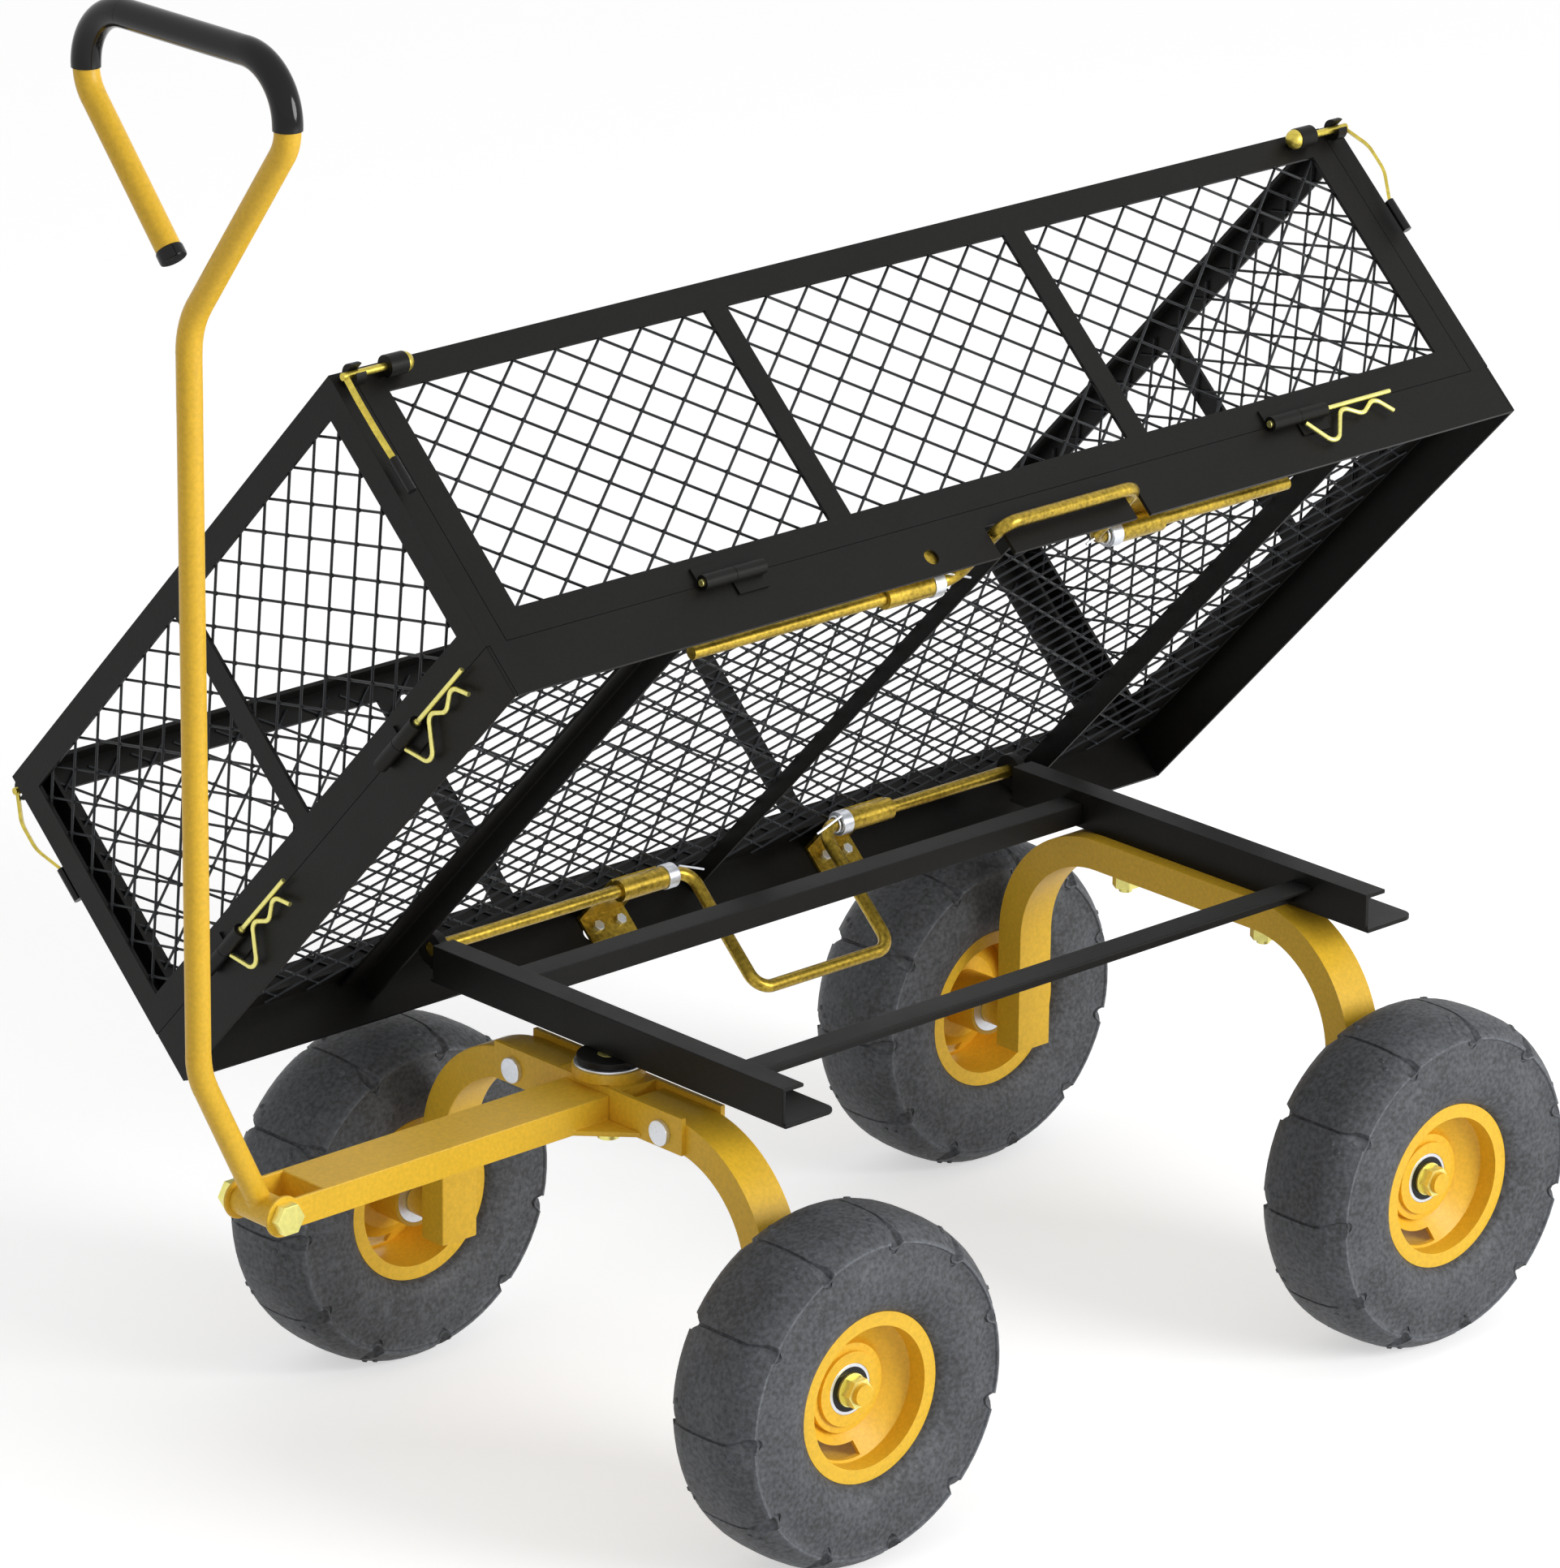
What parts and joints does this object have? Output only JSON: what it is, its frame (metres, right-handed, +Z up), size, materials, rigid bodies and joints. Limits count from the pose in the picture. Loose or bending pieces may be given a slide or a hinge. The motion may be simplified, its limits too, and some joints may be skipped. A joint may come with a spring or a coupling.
{
  "type": "tipping garden cart",
  "caption": "Garden cart with an expanded-mesh bed hinged to tip sideways, fold-down long sides, a steering front axle on a turntable and a looped pull handle.",
  "frame": {"origin": "on the ground under the middle of the wheelbase, midway between the wheels", "axes": "+X forward to the pull handle, +Y to the cart's left, which is the raised side of the bed, +Z up"},
  "size_m": [1.1777, 0.7162, 1.1247],
  "materials": {
    "yellow_paint": "satin powder coat",
    "black_paint": "satin powder coat",
    "tyre": "matte moulded rubber",
    "zinc": "bright zinc plate",
    "yellow_zinc": "yellow passivated zinc",
    "brass_plate": "yellow passivated rod",
    "black_vinyl": "dipped vinyl"
  },
  "bodies": {
    "chassis": {"front_cross_member": "black_paint", "rear_cross_member": "black_paint", "rail_near": "black_paint", "rail_far": "black_paint", "pivot_eyes": "black_paint", "rear_axle": "yellow_paint", "rear_fasteners": "yellow_zinc", "turntable_disc": "black_paint", "kingpin": "yellow_zinc"},
    "front_steer": {"beam_block": "yellow_paint", "clamp_plates": "yellow_paint", "front_arm_near": "yellow_paint", "front_arm_far": "yellow_paint", "front_fasteners": "zinc", "turntable_washer": "zinc", "tongue": "yellow_paint", "clevis_bolt": "yellow_zinc"},
    "handle": {"handle_tube": "yellow_paint", "handle_grip": "black_vinyl", "handle_cap": "black_vinyl"},
    "wheel_front_near": {"tyre_front_near": "tyre", "rim_front_near": "yellow_paint", "bearings_front_near": "zinc"},
    "wheel_front_far": {"tyre_front_far": "tyre", "rim_front_far": "yellow_paint", "bearings_front_far": "zinc"},
    "wheel_rear_near": {"tyre_rear_near": "tyre", "rim_rear_near": "yellow_paint", "bearings_rear_near": "zinc"},
    "wheel_rear_far": {"tyre_rear_far": "tyre", "rim_rear_far": "yellow_paint", "bearings_rear_far": "zinc"},
    "bed": {"bed_rail_near": "black_paint", "bed_rail_far": "black_paint", "bed_rail_front": "black_paint", "bed_rail_rear": "black_paint", "floor_bars": "black_paint", "floor_mesh": "black_paint", "bar_brackets": "brass_plate", "bracket_bolts": "zinc", "bar_collars": "zinc", "hinge_leaves": "black_paint", "hinge_pins": "yellow_zinc", "spring_clips": "yellow_zinc", "side_frame_front": "black_paint", "side_mesh_front": "black_paint", "side_frame_rear": "black_paint", "side_mesh_rear": "black_paint"},
    "side_near": {"side_frame_near": "black_paint", "side_mesh_near": "black_paint"},
    "side_far": {"side_frame_far": "black_paint", "side_mesh_far": "black_paint"},
    "release_bar_near": {"release_bar_near": "brass_plate"},
    "release_bar_far": {"release_bar_far": "brass_plate"},
    "latch_front_near": {"latch_front_near": "yellow_zinc"},
    "latch_rear_near": {"latch_rear_near": "yellow_zinc"},
    "latch_front_far": {"latch_front_far": "yellow_zinc"},
    "latch_rear_far": {"latch_rear_far": "yellow_zinc"}
  },
  "joints": [
    {"name": "front_steer", "type": "hinge", "parent": "chassis", "child": "front_steer", "pos_m": [0.292, 0, 0.29], "axis": [0, 0, 1], "range_deg": [-40, 40]},
    {"name": "handle_swing", "type": "hinge", "parent": "front_steer", "child": "handle", "pos_m": [0.61, 0, 0.275], "axis": [0, 1, 0], "range_deg": [-10, 95]},
    {"name": "bed_tip", "type": "hinge", "parent": "chassis", "child": "bed", "pos_m": [0, -0.204, 0.324], "axis": [1, 0, 0], "range_deg": [-47, 0]},
    {"name": "wheel_front_near", "type": "hinge", "parent": "front_steer", "child": "wheel_front_near", "pos_m": [0.292, 0.2405, 0.13], "axis": [0, 1, 0], "continuous": true},
    {"name": "wheel_front_far", "type": "hinge", "parent": "front_steer", "child": "wheel_front_far", "pos_m": [0.292, -0.2405, 0.13], "axis": [0, 1, 0], "continuous": true},
    {"name": "wheel_rear_near", "type": "hinge", "parent": "chassis", "child": "wheel_rear_near", "pos_m": [-0.292, 0.2405, 0.13], "axis": [0, 1, 0], "continuous": true},
    {"name": "wheel_rear_far", "type": "hinge", "parent": "chassis", "child": "wheel_rear_far", "pos_m": [-0.292, -0.2405, 0.13], "axis": [0, 1, 0], "continuous": true},
    {"name": "side_near_fold", "type": "hinge", "parent": "bed", "child": "side_near", "pos_m": [0, 0.10357, 0.68462], "axis": [-1, 0, 0], "range_deg": [0, 90]},
    {"name": "side_far_fold", "type": "hinge", "parent": "bed", "child": "side_far", "pos_m": [0, -0.26403, 0.29042], "axis": [1, 0, 0], "range_deg": [0, 90]},
    {"name": "release_near", "type": "hinge", "parent": "bed", "child": "release_bar_near", "pos_m": [0, 0.07426, 0.62239], "axis": [-1, 0, 0], "range_deg": [0, 66]},
    {"name": "release_far", "type": "hinge", "parent": "bed", "child": "release_bar_far", "pos_m": [0, -0.204, 0.324], "axis": [-1, 0, 0], "range_deg": [0, 66]},
    {"name": "latch_front_near", "type": "hinge", "parent": "side_near", "child": "latch_front_near", "pos_m": [0, -0.05129, 0.83381], "axis": [1, 0, 0], "range_deg": [0, 100]},
    {"name": "latch_front_far", "type": "hinge", "parent": "side_far", "child": "latch_front_far", "pos_m": [0, -0.42366, 0.43449], "axis": [-1, 0, 0], "range_deg": [0, 100]},
    {"name": "latch_rear_near", "type": "hinge", "parent": "side_near", "child": "latch_rear_near", "pos_m": [0, -0.05129, 0.83381], "axis": [1, 0, 0], "range_deg": [0, 100]},
    {"name": "latch_rear_far", "type": "hinge", "parent": "side_far", "child": "latch_rear_far", "pos_m": [0, -0.42366, 0.43449], "axis": [-1, 0, 0], "range_deg": [0, 100]}
  ]
}
